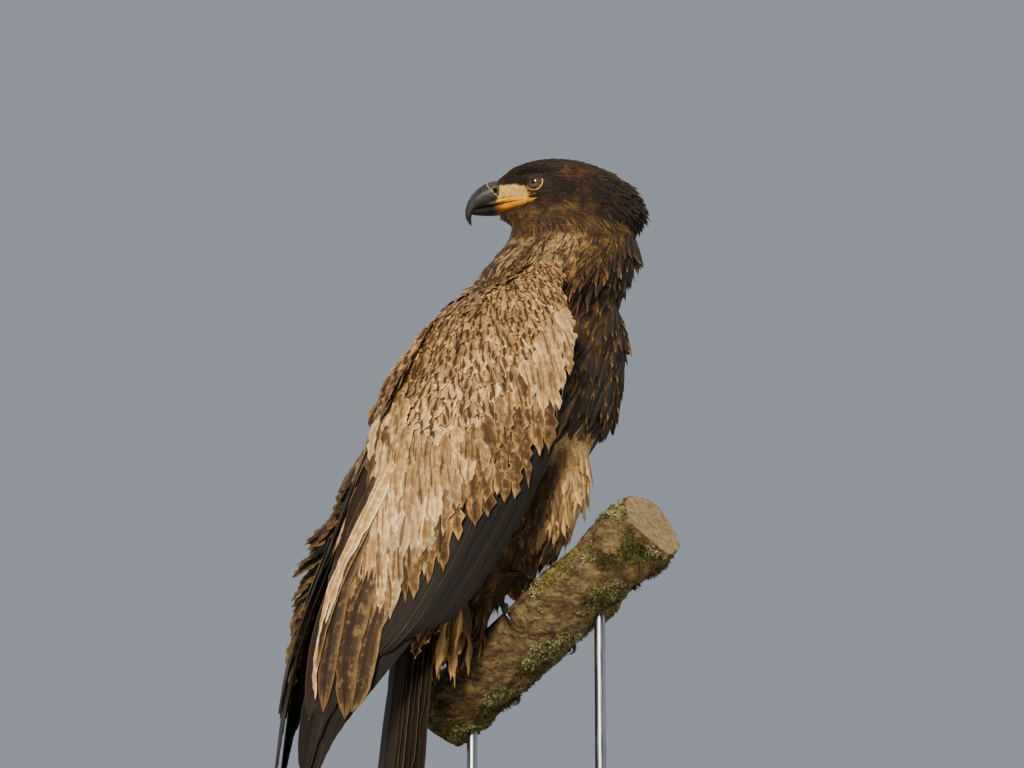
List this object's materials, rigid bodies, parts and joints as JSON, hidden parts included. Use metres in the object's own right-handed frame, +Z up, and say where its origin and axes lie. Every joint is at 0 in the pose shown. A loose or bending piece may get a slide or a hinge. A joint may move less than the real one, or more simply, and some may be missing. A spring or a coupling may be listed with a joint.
{
  "type": "immature bald eagle",
  "caption": "Life-size immature bald eagle perched on a cut length of branch, its head turned back, on a plain display stand.",
  "frame": {"origin": "centre of the display base's underside", "axes": "+X the way the bird's body faces, +Y to its left, +Z up"},
  "size_m": [0.4464, 0.3724, 0.8319],
  "materials": {
    "dark_plumage": "matt, dark brown feathers with paler edges",
    "pale_plumage": "matt, buff and cream feathers with brown shafts",
    "flight_plumage": "matt, grey-brown feathers",
    "dark_horn": "smooth grey-black horn",
    "yellow_skin": "scaly yellow skin",
    "black_horn": "glossy black horn",
    "eye_brown": "wet dark brown eye",
    "bark": "rough grey-brown bark with lichen",
    "turned_wood": "satin dark stained wood",
    "steel": "satin steel rod"
  },
  "bodies": {
    "root": {"torso": "dark_plumage", "head": "dark_plumage", "eye_left": "eye_brown", "eye_right": "eye_brown", "neck": "dark_plumage", "bill_upper": "dark_horn", "bill_lower": "dark_horn", "wing_left": "pale_plumage", "foot_left": "yellow_skin", "thigh_left": "pale_plumage", "wing_right": "pale_plumage", "foot_right": "yellow_skin", "thigh_right": "pale_plumage", "tail": "flight_plumage", "perch": "bark", "stand_base": "turned_wood", "stand_rod_1": "steel", "stand_rod_2": "steel", "claw_left_1": "black_horn", "claw_left_2": "black_horn", "claw_left_3": "black_horn", "claw_left_4": "black_horn", "claw_right_1": "black_horn", "claw_right_2": "black_horn", "claw_right_3": "black_horn", "claw_right_4": "black_horn"}
  },
  "joints": []
}
